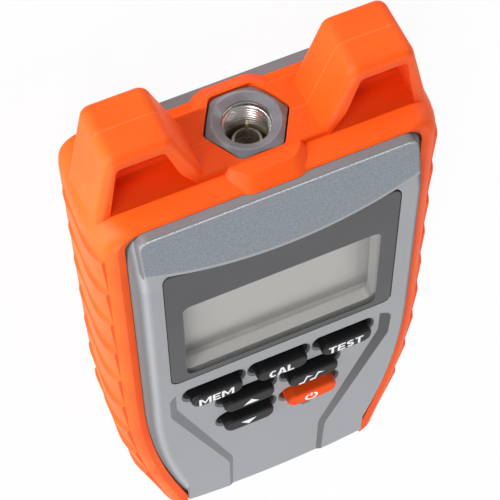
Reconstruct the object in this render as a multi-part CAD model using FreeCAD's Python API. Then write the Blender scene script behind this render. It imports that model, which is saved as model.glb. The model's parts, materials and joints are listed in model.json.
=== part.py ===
"""Handheld cable length meter: grey two-part case, rubber boot with two horn loops,
display behind a dark lens, seven rubber keys and a coaxial port in the top end.

It lies on its back. +Z points out of the display, +Y towards the coaxial port, millimetres.
"""
import FreeCAD, Part
import math
import os

V = FreeCAD.Vector
X_AXIS = V(1, 0, 0)
Y_AXIS = V(0, 1, 0)
Z_AXIS = V(0, 0, 1)

# Overall size: the horns end at +HALF_LENGTH and the bottom arc at -HALF_LENGTH
HALF_LENGTH = 76.25
CASE_TOP = 57.8
CASE_HALF = 33.6
SIDE_BEND_Y = -15.0
CASE_SIDE_R = 197.0
CASE_END_R = 108.0
CASE_CORNER_R = 6.0
SPLIT_Z = 13.4
WALL = 2.2
BACK_ROUND = 1.3

# Front surface: highest below the brow, leaning down towards both ends
CREST_Z = 31.2
FLAT_Z = 30.1
LEAN_Y = -8.0
PAD_END_Z = 25.9
TOP_LEAN = 0.2
LIP_SEAT_Z = 24.2
RIM_HALF = 31.9
RIM_TOP = 57.4
EDGE_ROUND = 3.0
END_CHAMFER = 0.9

# Raised brow above the lens
BROW_CREST_Y = 41.2
BROW_CREST_R = 87.0
BROW_CREST_Z = 32.8
BROW_EDGE_Z = 29.6
BROW_HALF = 30.3
BROW_LIP_ROUND = 1.1
BROW_EDGE_ROUND = 0.7

# Keypad channel between the two raised corner pads
CHANNEL_TOP_Y = -8.6
CHANNEL_REF_Y = -30.0
CHANNEL_REF_Z = 27.5
CHANNEL_SLOPE = 0.049
CHANNEL_WIDE = 25.0
CHANNEL_WIDE_Y = -19.0
CHANNEL_NARROW = 11.4
CHANNEL_NARROW_Y = -58.5
CHANNEL_WALL_RUN = 1.4

# Circuit board
PCB_Z = 18.4
PCB_T = 1.6
PCB_HALF = 28.0
PCB_Y0 = -52.6
PCB_Y1 = 42.0
DOME_RISE = 0.5
DOME_R = 2.6

# Chips below the board
CHIP_T = 1.4
CHIP_GAP = 0.1
LEG_T = 0.4
LEG_HALF = 0.2
LEG_REACH = 1.0
PROCESSOR_Y = 4.0
PROCESSOR_HALF = 6.0
PROCESSOR_LEGS = 11
PROCESSOR_PITCH = 1.0
SIGNAL_CHIP_X = 14.0
SIGNAL_CHIP_Y = 26.5
SIGNAL_CHIP_HALF_X = 2.0
SIGNAL_CHIP_HALF_Y = 2.5
SIGNAL_PITCH = 1.27

# Keys
KEY_LENGTH = 12.4
KEY_WIDTH = 5.2
KEY_ROUND = 2.3
KEY_RIM_ROUND = 1.0
KEY_PROUD = 2.7
KEY_TRAVEL = 1.0
KEY_GAP_ENDS = 1.1
KEY_GAP_SIDES = 0.75
KEY_HOLE_CHAMFER = 0.5
KEY_STOP_GAP = 0.3
KEY_BASE_Z = PCB_Z + PCB_T + DOME_RISE + KEY_TRAVEL + KEY_STOP_GAP
KEY_FLANGE_T = 2.6
KEY_FLANGE_LIP = 1.3
KEYS = {
    "key_mem": (-15.9, -14.2),
    "key_cal": (0.0, -14.2),
    "key_test": (15.9, -14.2),
    "key_up": (-8.0, -24.1),
    "key_tone": (8.0, -24.1),
    "key_down": (-8.0, -34.8),
    "key_power": (8.0, -34.8),
}

# Lens and display
LENS_HALF = 26.2
LENS_BOTTOM = -2.75
LENS_TOP_GAP = 0.9
LENS_T = 1.3
LENS_ROUND = 2.2
WINDOW_HALF = 22.5
WINDOW_Y0 = -0.8
WINDOW_Y1 = 29.1
WINDOW_ROUND = 1.8
LCD_FACE_Z = 24.4
LCD_T = 2.0
LIGHT_GUIDE_T = 1.4
SLIP = 0.05
LCD_HALF = WINDOW_HALF + 1.5
CEILING_Z = 26.0

# Coaxial port, axis along Y at the split plane
PORT_MOUTH_Y = 60.5
PORT_FLATS = 15.6
PORT_CORNER_R = 1.2
PORT_FACE_R = 7.0
PORT_FACE_RUN = 1.9
PORT_DISH = 0.8
PORT_FLANGE_R = 9.4
PORT_FLANGE_Y0 = 52.4
PORT_FLANGE_Y1 = 55.4
PORT_HEX_Y0 = 55.7
PORT_NECK_R = 7.4
PORT_HOLE_Y0 = 50.0
PORT_HOLE_Y1 = 62.0
PORT_BACK_Y = 45.0
PORT_TAIL_Y = 40.6
PORT_SLEEVE_R = 5.6
PORT_BORE_R = 4.45
PORT_MOUTH_R = 5.2
PORT_MOUTH_DEPTH = 1.2
THREAD_PITCH = 0.794
THREAD_DEPTH = 0.42
PIN_R = 0.32
PIN_DEPTH = 0.3
PIN_POINT = 0.8

# Rubber boot
BOOT_HALF = 37.6
BOOT_SIDE_R = 212.0
BOOT_TOP = 58.7
BOOT_CORNER_R = 6.0
BOOT_BACK_Z = 1.0
BOOT_RIM_Z = 26.5
BOOT_LEAN = 0.017
BOOT_FIT = 0.1
NOTCH_HALF = 26.0
NOTCH_Y = 50.0
NOTCH_Z = 3.6
TOOTH_PITCH = 12.8
TOOTH_FIRST_Y = 49.0
TOOTH_COUNT = 9
TOOTH_HEIGHT = 0.75
TOOTH_LOW = 0.42
HORN_Z0 = 7.2
HORN_Z1 = 22.2
HORN_ROUND = 1.9

# Raised deck of the boot between its horns, with a collar round the port
DECK_Y = 60.3
DECK_HALF = 13.8
DECK_Z0 = 6.3
DECK_Z1 = 22.1
DECK_ROUND = 0.7
STEP_HALF = 33.4
STEP_Z0 = 8.0
STEP_Z1 = 15.4
COLLAR_GAP = 0.4
COLLAR_EDGE = 0.5
COLLAR_SWELL = 1.04

# Slanted bottom end: it runs in from the end's middle height to the back
END_SLANT_Z = 21.5
END_SLANT_BACK_Y = -61.5

# Battery bay: four cells lying along Y
CELL_R = 5.25
CELL_LENGTH = 44.5
CELL_PITCH = 11.0
BAY_HALF = 22.8
BAY_Y0 = -43.6
BAY_Y1 = 7.4
SPRING_R = 2.6
SPRING_WIRE_R = 0.25
SPRING_PITCH = 0.95
SPRING_TURNS = 2
DOOR_T = 1.8
DOOR_GAP = 0.15
DOOR_Y0 = -53.4
DOOR_SCREW_Y = -49.8
DOOR_SEAT_Z = 1.0

os.makedirs("parts", exist_ok=True)


def save(name, shape):
    """Write one node."""
    shape.exportStep(os.path.join("parts", name + ".step"))


def box(x0, x1, y0, y1, z0, z1):
    return Part.makeBox(x1 - x0, y1 - y0, z1 - z0, V(x0, y0, z0))


def rod(r, p, axis, length):
    return Part.makeCylinder(r, length, p, axis)


def line(a, b):
    return Part.makeLine(V(*a), V(*b))


def arc(a, m, b):
    return Part.Arc(V(*a), V(*m), V(*b)).toShape()


def prism(edges, z0, z1):
    """Closed outline in the XY plane, raised from z0 to z1."""
    face = Part.Face(Part.Wire(edges))
    face.translate(V(0, 0, z0))
    return face.extrude(V(0, 0, z1 - z0))


def polygon(points):
    return Part.makePolygon([V(*p) for p in points] + [V(*points[0])])


def rounded_edges(corners, height=lambda y: 0.0):
    """Closed outline through (x, y, radius) corners, each rounded by its own radius.

    height(y) lifts the outline's points.
    """
    def lifted(p):
        return V(p.x, p.y, height(p.y))

    joints = []
    count = len(corners)
    for i, (x, y, r) in enumerate(corners):
        here = V(x, y, 0)
        back = (V(*corners[i - 1][:2], 0) - here).normalize()
        ahead = (V(*corners[(i + 1) % count][:2], 0) - here).normalize()
        half_angle = back.getAngle(ahead) / 2
        middle = (back + ahead).normalize()
        reach = r / math.tan(half_angle)
        centre = here + middle * (r / math.sin(half_angle))
        joints.append((here + back * reach, centre - middle * r, here + ahead * reach, r))
    edges = []
    for i, (start, mid, end, r) in enumerate(joints):
        if r > 0:
            edges.append(Part.Arc(lifted(start), lifted(mid), lifted(end)).toShape())
        edges.append(Part.makeLine(lifted(end), lifted(joints[(i + 1) % count][0])))
    return edges


def slab(profile, half):
    """Outline of (y, z) points stretched along X from -half to half."""
    face = Part.Face(polygon([(-half, y, z) for y, z in profile]))
    return face.extrude(V(2 * half, 0, 0))


def mirrored(shape):
    return shape.mirror(V(0, 0, 0), X_AXIS)


def both(shape):
    """A shape and its mirror image in the YZ plane."""
    return shape.fuse(mirrored(shape))


def rounded_box(cx, cy, length, width, r, z0, z1):
    """Upright block with rounded corners in plan."""
    block = box(cx - length / 2, cx + length / 2, cy - width / 2, cy + width / 2, z0, z1)
    upright = [e for e in block.Edges if abs(e.Vertexes[0].Z - e.Vertexes[1].Z) > 1e-6]
    return block.makeFillet(r, upright)


def edges_where(shape, test):
    """Edges whose every sampled point passes the test."""
    found = []
    for edge in shape.Edges:
        if all(test(p) for p in edge.discretize(5)):
            found.append(edge)
    return found


def arc_x(centre_x, radius, bend_y, y):
    """X of a side arc that starts upright at bend_y."""
    return centre_x + math.sqrt(radius ** 2 - (y - bend_y) ** 2)


def case_outline(grow, open_end=False, top=None):
    """Plan outline of the case, moved outwards by grow.

    With open_end the sides run straight on past the bottom end. The top end lies at top where that is given.
    """
    half = CASE_HALF + grow
    top = CASE_TOP + grow if top is None else top
    r = CASE_CORNER_R + grow
    side_r = CASE_SIDE_R + grow
    centre_x = CASE_HALF - CASE_SIDE_R
    end_r = CASE_END_R + grow
    end_centre_y = CASE_END_R - HALF_LENGTH
    # Corner where the side arc meets the end arc, found by walking down the side
    low, high = -HALF_LENGTH - grow, SIDE_BEND_Y
    for _ in range(60):
        mid = (low + high) / 2
        x = arc_x(centre_x, side_r, SIDE_BEND_Y, mid)
        if math.hypot(x, mid - end_centre_y) > end_r:
            low = mid
        else:
            high = mid
    corner = (arc_x(centre_x, side_r, SIDE_BEND_Y, high), high)
    mid_y = (SIDE_BEND_Y + corner[1]) / 2
    side_mid = (arc_x(centre_x, side_r, SIDE_BEND_Y, mid_y), mid_y)
    k = r * (1 - math.sqrt(0.5))
    right = [
        line((0, top, 0), (half - r, top, 0)),
        arc((half - r, top, 0), (half - k, top - k, 0), (half, top - r, 0)),
        line((half, top - r, 0), (half, SIDE_BEND_Y, 0)),
        arc((half, SIDE_BEND_Y, 0), (*side_mid, 0), (*corner, 0)),
    ]
    if open_end:
        right.append(line((*corner, 0), (corner[0], -HALF_LENGTH - 20, 0)))
        right.append(line((corner[0], -HALF_LENGTH - 20, 0), (0, -HALF_LENGTH - 20, 0)))
    else:
        half_x = corner[0] / 2
        half_y = end_centre_y - math.sqrt(end_r ** 2 - half_x ** 2)
        right.append(arc((*corner, 0), (half_x, half_y, 0), (0, -HALF_LENGTH - grow, 0)))
    left = [mirrored(e) for e in right]
    return Part.__sortEdges__(right + left)


def case_prism(grow, z0, z1, open_end=False, top=None):
    return prism(case_outline(grow, open_end, top), z0, z1)


def pad_z(y):
    """Height of the front surface along the centre plane."""
    if y > BROW_CREST_Y:
        return CREST_Z - TOP_LEAN * (y - BROW_CREST_Y)
    if y < LEAN_Y:
        return FLAT_Z - (FLAT_Z - PAD_END_Z) * (LEAN_Y - y) / (LEAN_Y + HALF_LENGTH)
    return FLAT_Z + (CREST_Z - FLAT_Z) * (y - LEAN_Y) / (BROW_CREST_Y - LEAN_Y)


def end_knife(inset):
    """Everything beyond the slanted bottom end, moved inwards by inset."""
    slope = (END_SLANT_BACK_Y + HALF_LENGTH) / END_SLANT_Z
    reach = inset * math.sqrt(1 + slope ** 2)
    far = -HALF_LENGTH - 30
    foot_y = END_SLANT_BACK_Y + reach
    top_y = foot_y - slope * 60
    return slab([(foot_y + slope * 5, -5), (top_y, 60), (far - 60, 60), (far - 60, -5)], 60)


def channel_z(y):
    """Height of the keypad channel's floor."""
    return CHANNEL_REF_Z + CHANNEL_SLOPE * (y - CHANNEL_REF_Y)


def channel_plan(grow):
    """Corners of the keypad channel in plan with their radii, moved outwards by grow."""
    rise = (CHANNEL_WIDE_Y - CHANNEL_NARROW_Y) / (CHANNEL_WIDE - CHANNEL_NARROW)
    shift = grow * (rise - math.sqrt(1 + rise ** 2))
    right = [(CHANNEL_WIDE + grow, CHANNEL_TOP_Y - 1.0 + grow, 2.0 + grow),
             (CHANNEL_WIDE + grow, CHANNEL_WIDE_Y + shift, 4.0 + grow),
             (CHANNEL_NARROW + grow, CHANNEL_NARROW_Y + shift, 10.0 - grow),
             (CHANNEL_NARROW + grow, -HALF_LENGTH - 3, 0)]
    return right + [(-x, y, r) for x, y, r in reversed(right)]


def lens_outline(grow):
    """Lens: straight sides and bottom, top edge an arc just below the brow."""
    half = LENS_HALF + grow
    bottom = LENS_BOTTOM - grow
    r = BROW_CREST_R + LENS_TOP_GAP - grow
    centre_y = BROW_CREST_Y + BROW_CREST_R
    side_top = centre_y - math.sqrt(r ** 2 - half ** 2)
    return [
        line((-half, bottom, 0), (half, bottom, 0)),
        line((half, bottom, 0), (half, side_top, 0)),
        arc((half, side_top, 0), (0, centre_y - r, 0), (-half, side_top, 0)),
        line((-half, side_top, 0), (-half, bottom, 0)),
    ]


def lens_block(grow, z0, z1):
    """Lens-shaped block from z0 to z1 above the leaning front surface."""
    block = prism(lens_outline(grow), z0, z1)
    upright = [e for e in block.Edges if abs(e.Vertexes[0].Z - e.Vertexes[-1].Z) > 0.1]
    block = block.makeFillet(LENS_ROUND, upright)
    slope = (CREST_Z - FLAT_Z) / (BROW_CREST_Y - LEAN_Y)
    block.rotate(V(0, LENS_BOTTOM, 0), X_AXIS, math.degrees(math.atan(slope)))
    block.translate(V(0, 0, pad_z(LENS_BOTTOM)))
    return block


def hex_prism(flats, y0, y1, corner_r=0):
    """Hexagon about the port axis with corners towards +X and -X."""
    r = flats / math.sqrt(3)
    corners = [(r * math.cos(math.radians(a)), y0, SPLIT_Z + r * math.sin(math.radians(a)))
               for a in range(0, 360, 60)]
    block = Part.Face(polygon(corners)).extrude(V(0, y1 - y0, 0))
    if corner_r:
        block = block.makeFillet(corner_r, [e for e in block.Edges if e.BoundBox.YLength > 1])
    return block


def port_rod(r, y0, y1):
    return rod(r, V(0, y0, SPLIT_Z), Y_AXIS, y1 - y0)


def collar_wire(corners, share, y):
    """Outline across the port from (x, z, radius) corners on the right, scaled about the port axis."""
    right = [(x * share, SPLIT_Z + (z - SPLIT_Z) * share, r) for x, z, r in corners]
    wire = Part.Wire(rounded_edges(right + [(-x, z, r) for x, z, r in reversed(right)]))
    wire.rotate(V(0, 0, 0), X_AXIS, 90)
    wire.translate(V(0, y, 0))
    return wire


def collar_half(y0, near, far):
    """Swelling of the boot beside the port, from near at the deck down to far at y0."""
    levels = [collar_wire(far, 1.0, y0), collar_wire(near, COLLAR_SWELL, DECK_Y - COLLAR_EDGE),
              collar_wire(near, 1.0, DECK_Y)]
    return Part.makeLoft(levels, True, True)


def boot_deck():
    """Raised deck between the horns, its step behind the loops, and the collar round the port."""
    deck = box(-DECK_HALF, DECK_HALF, BOOT_TOP - 1.0, DECK_Y, DECK_Z0, DECK_Z1)
    deck = deck.makeFillet(DECK_ROUND, [e for e in deck.Edges if e.BoundBox.YMin > DECK_Y - 1e-6
                                        and e.BoundBox.XLength > DECK_HALF])
    front = collar_half(RIM_TOP + BOOT_FIT, [(8.2, 20.0, 0), (7.4, 23.0, 4.0), (5.0, 25.3, 4.0)],
                        [(9.6, 20.0, 0), (8.8, 25.6, 4.0), (5.8, 28.2, 4.0)])
    back = collar_half(CASE_TOP + BOOT_FIT, [(8.2, 8.0, 0), (6.9, 6.1, 3.5), (4.6, 4.5, 3.5)],
                       [(9.6, 8.0, 0), (8.6, 3.3, 3.5), (5.2, 1.2, 3.5)])
    step = box(-STEP_HALF, STEP_HALF, BOOT_TOP - 1.0, DECK_Y, STEP_Z0, STEP_Z1)
    return deck.fuse(step).fuse(front).fuse(back)


SCREW_SPOTS = [(sx * x, y) for x, y in ((27.4, 48.4), (21.5, -57.2)) for sx in (-1, 1)]
PCB_SCREW_SPOTS = [(sx * 25.0, y) for y in (38.0, -8.0) for sx in (-1, 1)]
BOSS_R = 3.4
PILOT_R = 1.1
SCREW_R = 1.4
HEAD_R = 2.7


def key_hole(x, y):
    """Hole for one key, its edge chamfered along the channel's floor."""
    length = KEY_LENGTH + 2 * KEY_GAP_ENDS
    width = KEY_WIDTH + 2 * KEY_GAP_SIDES
    r = KEY_ROUND + KEY_GAP_SIDES

    def plan(lift):
        grow = KEY_HOLE_CHAMFER + lift
        corners = [(x + sx * (length / 2 + grow), y + sy * (width / 2 + grow), r + grow)
                   for sx, sy in ((1, 1), (-1, 1), (-1, -1), (1, -1))]
        return Part.Wire(rounded_edges(corners, lambda py: channel_z(py) + lift))

    flare = Part.makeLoft([plan(-1.0), plan(0.5)], True, True)
    return rounded_box(x, y, length, width, r, 20, 34).fuse(flare)


def front_cover():
    """Display-side half of the case."""
    skirt = case_prism(0, SPLIT_Z, LIP_SEAT_Z).cut(end_knife(0))
    end_z = pad_z(CASE_TOP + 1)
    face_line = [(CASE_TOP + 1, 20), (CASE_TOP + 1, end_z), (BROW_CREST_Y, CREST_Z), (LEAN_Y, FLAT_Z),
                 (-HALF_LENGTH - 1, PAD_END_Z), (-HALF_LENGTH - 1, 20)]
    crown = case_prism(RIM_HALF - CASE_HALF, 20, FLAT_Z + 5, True, RIM_TOP)
    crown = crown.common(case_prism(0, 20, FLAT_Z + 5))
    crown = crown.common(slab(face_line, 50))
    top_edges = [e for e in crown.Edges if e.BoundBox.ZMin > LIP_SEAT_Z]
    crosswise = [e for e in top_edges if e.BoundBox.XLength > 2 * BROW_HALF]
    end_edges = [e for e in top_edges if e.CenterOfMass.y < CHANNEL_NARROW_Y and e.BoundBox.YLength < 6]
    side_edges = [e for e in top_edges if not any(e.isSame(f) for f in crosswise + end_edges)]
    crown = crown.makeFillet(EDGE_ROUND, side_edges)
    end_edges = [e for e in crown.Edges if e.BoundBox.ZMin > LIP_SEAT_Z
                 and e.BoundBox.XLength > CHANNEL_NARROW and e.CenterOfMass.y < CHANNEL_NARROW_Y]
    crown = crown.makeChamfer(END_CHAMFER, end_edges)
    cover = skirt.fuse(crown)
    # Brow: a leaning block whose lower edge is an arc across the cover
    brow_lean = (BROW_CREST_Z - BROW_EDGE_Z) / (RIM_TOP - BROW_CREST_Y)
    brow_line = [(RIM_TOP + 1, 25.0), (RIM_TOP + 1, BROW_EDGE_Z - brow_lean),
                 (BROW_CREST_Y - 1, BROW_CREST_Z + brow_lean), (BROW_CREST_Y - 1, 25.0)]
    brow = case_prism(BROW_HALF - CASE_HALF, 25, 36, False, RIM_TOP).common(slab(brow_line, 50))
    brow = brow.common(rod(BROW_CREST_R, V(0, BROW_CREST_Y + BROW_CREST_R, 20), Z_AXIS, 20))
    rim = [e for e in brow.Edges if e.BoundBox.ZMin > BROW_EDGE_Z - 0.5]
    crest = [e for e in rim if e.BoundBox.XLength > BROW_HALF and e.CenterOfMass.y < RIM_TOP - 1]
    brow = brow.makeFillet(BROW_LIP_ROUND, crest)
    rim = [e for e in brow.Edges if e.BoundBox.ZMin > BROW_EDGE_Z - 0.5
           and e.BoundBox.YMax > BROW_CREST_Y + 8]
    brow = brow.makeFillet(BROW_EDGE_ROUND, rim)
    cover = cover.fuse(brow)
    # Keypad channel with slanted walls, ramped at its top end
    lift = 4.0
    floor = Part.Wire(rounded_edges(channel_plan(0), channel_z))
    upper = Part.Wire(rounded_edges(channel_plan(lift * CHANNEL_WALL_RUN), lambda y: channel_z(y) + lift))
    channel = Part.makeLoft([floor, upper], True, True)
    cover = cover.cut(channel)
    # Hollow, leaving a wall that follows the front surface
    hollow_line = [(CASE_TOP + 2, SPLIT_Z - 1), (CASE_TOP + 2, pad_z(CASE_TOP) - 2.4), (44, CEILING_Z),
                   (-5, CEILING_Z), (-9, channel_z(-9) - WALL),
                   (-HALF_LENGTH - 2, channel_z(-HALF_LENGTH) - WALL), (-HALF_LENGTH - 2, SPLIT_Z - 1)]
    hollow = case_prism(-WALL - 2.0, SPLIT_Z - 1, FLAT_Z).common(slab(hollow_line, 50))
    skirt_hollow = case_prism(-WALL, SPLIT_Z - 1, LIP_SEAT_Z - 2.0)
    floor_line = [(CASE_TOP + 2, SPLIT_Z - 2), (CASE_TOP + 2, LIP_SEAT_Z - 2.2), (-20, LIP_SEAT_Z - 2.2),
                  (-HALF_LENGTH - 2, channel_z(-HALF_LENGTH) - WALL), (-HALF_LENGTH - 2, SPLIT_Z - 2)]
    hollow = hollow.fuse(skirt_hollow.common(slab(floor_line, 50)))
    cover = cover.cut(hollow.cut(end_knife(WALL)))
    # Screw bosses, joined to the wall behind the front
    for x, y in SCREW_SPOTS:
        boss = rod(BOSS_R, V(x, y, SPLIT_Z), Z_AXIS, 10.6)
        cover = cover.fuse(boss.cut(rod(PILOT_R, V(x, y, SPLIT_Z - 1), Z_AXIS, 9.0)))
    # Posts that the circuit board hangs from
    for x, y in PCB_SCREW_SPOTS:
        post = rod(2.6, V(x, y, PCB_Z + PCB_T + 0.02), Z_AXIS, 6.4)
        cover = cover.fuse(post.cut(rod(PILOT_R, V(x, y, PCB_Z), Z_AXIS, 6.0)))
    # Lens seat, display opening and key holes
    cover = cover.cut(lens_block(0.2, -LENS_T - 0.15, 6))
    cover = cover.cut(rounded_box(0, (WINDOW_Y0 + WINDOW_Y1) / 2, 2 * WINDOW_HALF, WINDOW_Y1 - WINDOW_Y0,
                                  WINDOW_ROUND, 20, FLAT_Z))
    for x, y in KEYS.values():
        cover = cover.cut(key_hole(x, y))
    # Half of the hexagonal port hole
    cover = cover.cut(hex_prism(PORT_FLATS + 0.2, PORT_HOLE_Y0, PORT_HOLE_Y1))
    cover = cover.cut(port_rod(PORT_FLANGE_R + 0.2, PORT_BACK_Y, PORT_FLANGE_Y1 + 0.2))
    return cover.removeSplitter()


def rear_cover():
    """Back half of the case with the battery bay."""
    shell = case_prism(0, 0, SPLIT_Z).cut(end_knife(0))
    back_edges = edges_where(shell, lambda p: p.z < 1e-6)
    shell = shell.makeFillet(BACK_ROUND, back_edges)
    shell = shell.cut(case_prism(-WALL, 2.6, SPLIT_Z + 1).cut(end_knife(WALL)))
    bay = box(-BAY_HALF - 3, BAY_HALF + 3, BAY_Y0 - 3, BAY_Y1 + 3, DOOR_T + 0.1, SPLIT_Z + 1.2)
    shell = shell.fuse(bay)
    door_boss = rod(3.6, V(0, DOOR_SCREW_Y, DOOR_T + 0.1), Z_AXIS, 9)
    shell = shell.fuse(door_boss)
    for x, y in SCREW_SPOTS:
        shell = shell.fuse(rod(BOSS_R, V(x, y, 1.0), Z_AXIS, SPLIT_Z - 1.0))
    shell = shell.cut(box(-BAY_HALF, BAY_HALF, BAY_Y0, BAY_Y1, -1, SPLIT_Z))
    shell = shell.cut(door_plate(DOOR_GAP, -1, DOOR_T + 0.1))
    shell = shell.cut(rod(PILOT_R, V(0, DOOR_SCREW_Y, 0), Z_AXIS, 9))
    for x, y in SCREW_SPOTS:
        shell = shell.cut(rod(SCREW_R + 0.2, V(x, y, -1), Z_AXIS, SPLIT_Z + 2))
        shell = shell.cut(rod(HEAD_R + 0.2, V(x, y, -1), Z_AXIS, 5.0))
    shell = shell.cut(hex_prism(PORT_FLATS + 0.2, PORT_HOLE_Y0, PORT_HOLE_Y1))
    return shell.removeSplitter()


def door_plate(grow, z0, z1):
    y1 = BAY_Y1 + 1.2
    return rounded_box(0, (y1 + DOOR_Y0) / 2, 2 * BAY_HALF + 2.8 + 2 * grow,
                       y1 - DOOR_Y0 + 2 * grow, 3.0 + grow, z0, z1)


def battery_door():
    """Flush door with finger ridges, held by one screw."""
    door = door_plate(0, 0, DOOR_T)
    door = door.cut(rod(1.7, V(0, DOOR_SCREW_Y, -1), Z_AXIS, 4))
    door = door.cut(rod(3.0, V(0, DOOR_SCREW_Y, -1), Z_AXIS, 1 + DOOR_SEAT_Z))
    for i in range(5):
        y = BAY_Y1 - 6.0 - 2.4 * i
        half = 9.0 - 0.8 * i
        door = door.cut(box(-half, half, y - 0.5, y + 0.5, -1, 0.45))
    return door


def panhead_screw(x, y, z, length, head_t=1.6):
    """Cross-head screw pointing up, underside of its head at z."""
    head = rod(HEAD_R, V(x, y, z - head_t), Z_AXIS, head_t)
    head = head.makeFillet(head_t * 0.44, edges_where(head, lambda p: p.z < z - head_t + 0.01))
    slot_top = z - head_t / 2
    slots = box(x - 1.6, x + 1.6, y - 0.3, y + 0.3, z - 2, slot_top)
    slots = slots.fuse(box(x - 0.3, x + 0.3, y - 1.6, y + 1.6, z - 2, slot_top))
    return head.cut(slots).fuse(rod(SCREW_R - 0.35, V(x, y, z - 0.2), Z_AXIS, length))


def case_screws():
    return Part.makeCompound([panhead_screw(x, y, 3.98, 15.0) for x, y in SCREW_SPOTS])


def door_screw():
    return panhead_screw(0, DOOR_SCREW_Y, DOOR_SEAT_Z - 0.02, 7.0, 0.9)


def pcb_screws():
    """Short screws through the board, heads below it."""
    return Part.makeCompound([panhead_screw(x, y, PCB_Z - 0.02, 5.0) for x, y in PCB_SCREW_SPOTS])


def boot_outline(half, top, corner_r, z, lean, teeth):
    """Closed outline of the boot at one level, on a plane that leans with y.

    With teeth the sides are sawtooth lines: each tooth is tallest at its upper end.
    """
    centre_x = half - BOOT_SIDE_R

    def side(y):
        if y > SIDE_BEND_Y:
            return half
        return arc_x(centre_x, BOOT_SIDE_R, SIDE_BEND_Y, y)

    def at(x, y):
        return V(x, y, z + lean * y)

    end_r = 2.6
    bottom = -HALF_LENGTH
    start_y = top - corner_r
    k = corner_r * (1 - math.sqrt(0.5))
    edges = [Part.makeLine(at(0, top), at(half - corner_r, top)),
             Part.Arc(at(half - corner_r, top), at(half - k, top - k), at(half, start_y)).toShape()]
    low_y = bottom + end_r
    points = [(half, start_y)]
    if teeth:
        for i in range(TOOTH_COUNT):
            y = TOOTH_FIRST_Y - TOOTH_PITCH * i
            points.append((side(y), y + 0.35))
            points.append((side(y) + teeth, y))
    else:
        for i in range(TOOTH_COUNT):
            y = TOOTH_FIRST_Y - TOOTH_PITCH * i
            points.append((side(y), y + 0.35))
            points.append((side(y), y))
    points.append((side(low_y), low_y))
    for a, b in zip(points, points[1:]):
        edges.append(Part.makeLine(at(*a), at(*b)))
    x = side(low_y)
    m = end_r * (1 - math.sqrt(0.5))
    edges.append(Part.Arc(at(x, low_y), at(x - m, bottom + m), at(x - end_r, bottom)).toShape())
    edges.append(Part.makeLine(at(x - end_r, bottom), at(0, bottom)))
    wire_right = Part.Wire(edges)
    return Part.Wire(Part.__sortEdges__(wire_right.Edges + mirrored(wire_right).Edges))


def boot_loft(levels):
    """levels: (z at y = 0, side inset, top inset, share of the rim's lean, tooth height)."""
    wires = [boot_outline(BOOT_HALF - side, BOOT_TOP - top, BOOT_CORNER_R - top, z, BOOT_LEAN * share, teeth)
             for z, side, top, share, teeth in levels]
    return Part.makeLoft(wires, True, False)


def horn():
    """One loop on the right, an arch of even thickness through which a strap passes."""
    foot_y = 50.5
    outer = [(11.7, foot_y, 0), (11.7, 58.4, 10.0), (18.7, HALF_LENGTH, 2.6), (31.8, HALF_LENGTH, 2.4),
             (37.4, foot_y, 0)]
    arch = prism(rounded_edges(outer), HORN_Z0, HORN_Z1)
    rim = [e for e in arch.Edges if e.BoundBox.ZLength < 1e-6 and e.BoundBox.YMax > foot_y + 1]
    arch = arch.makeFillet(HORN_ROUND, rim)
    opening = [(13.6, BOOT_TOP - 1.0, 0), (17.6, 64.2, 9.0), (20.4, 73.2, 1.4), (30.2, 73.2, 1.2),
               (32.8, BOOT_TOP - 1.0, 0)]
    hole = prism(rounded_edges(opening), 0, 30)
    return arch.cut(hole.common(box(0, 60, BOOT_TOP, 80, 0, 30)))


def rubber_boot():
    """One-piece rubber boot: a leaning rim, toothed flanks and two horn loops."""
    back = boot_loft([(BOOT_BACK_Z, 1.9, 0.4, 0.0, 0), (2.4, 1.3, 0.2, 0.05, 0), (6.0, 0.8, 0.0, 0.1, 0)])
    back = back.cut(box(-NOTCH_HALF, NOTCH_HALF, NOTCH_Y, HALF_LENGTH, 0, NOTCH_Z))
    flank = boot_loft([(6.0, 0.8, 0.0, 0.1, TOOTH_LOW), (11.0, 0.2, 0.0, 0.3, TOOTH_LOW),
                       (16.0, 0.0, 0.0, 0.5, TOOTH_LOW), (20.5, 0.3, 0.0, 0.7, TOOTH_HEIGHT),
                       (23.6, 1.1, 0.2, 0.9, TOOTH_HEIGHT), (24.8, 1.7, 0.4, 0.95, TOOTH_HEIGHT)])
    rim = boot_loft([(24.8, 1.7, 0.4, 0.95, 0), (25.9, 2.7, 0.7, 1.0, 0), (BOOT_RIM_Z, 4.0, 1.2, 1.0, 0)])
    boot = back.fuse(flank).fuse(rim).cut(end_knife(0))
    boot = boot.fuse(boot_deck())
    boot = boot.cut(case_prism(BOOT_FIT, -1, LIP_SEAT_Z + 0.1, True))
    boot = boot.cut(case_prism(RIM_HALF - CASE_HALF + 0.12, 20, 40, True, RIM_TOP + BOOT_FIT))
    loops = both(horn())
    boot = boot.fuse(loops.cut(case_prism(BOOT_FIT, -1, 40, True)))
    port_hole = hex_prism(PORT_FLATS + 2 * COLLAR_GAP, PORT_HOLE_Y0, PORT_HOLE_Y1, PORT_CORNER_R + COLLAR_GAP)
    return boot.cut(port_hole)


def lens():
    return lens_block(0, -LENS_T - 0.1, -0.1)


def lcd_glass():
    """Two bonded glass sheets, the back one longer for its contacts."""
    mid_z = LCD_FACE_Z - LCD_T / 2
    front = box(-LCD_HALF, LCD_HALF, WINDOW_Y0 - 0.7, WINDOW_Y1 + 0.1, mid_z, LCD_FACE_Z)
    back = box(-LCD_HALF, LCD_HALF, WINDOW_Y0 - 0.7, WINDOW_Y1 + 1.0, LCD_FACE_Z - LCD_T, mid_z)
    return front.fuse(back).removeSplitter()


def tray_floor_z():
    return LCD_FACE_Z - LCD_T - LIGHT_GUIDE_T - 2 * SLIP


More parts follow.
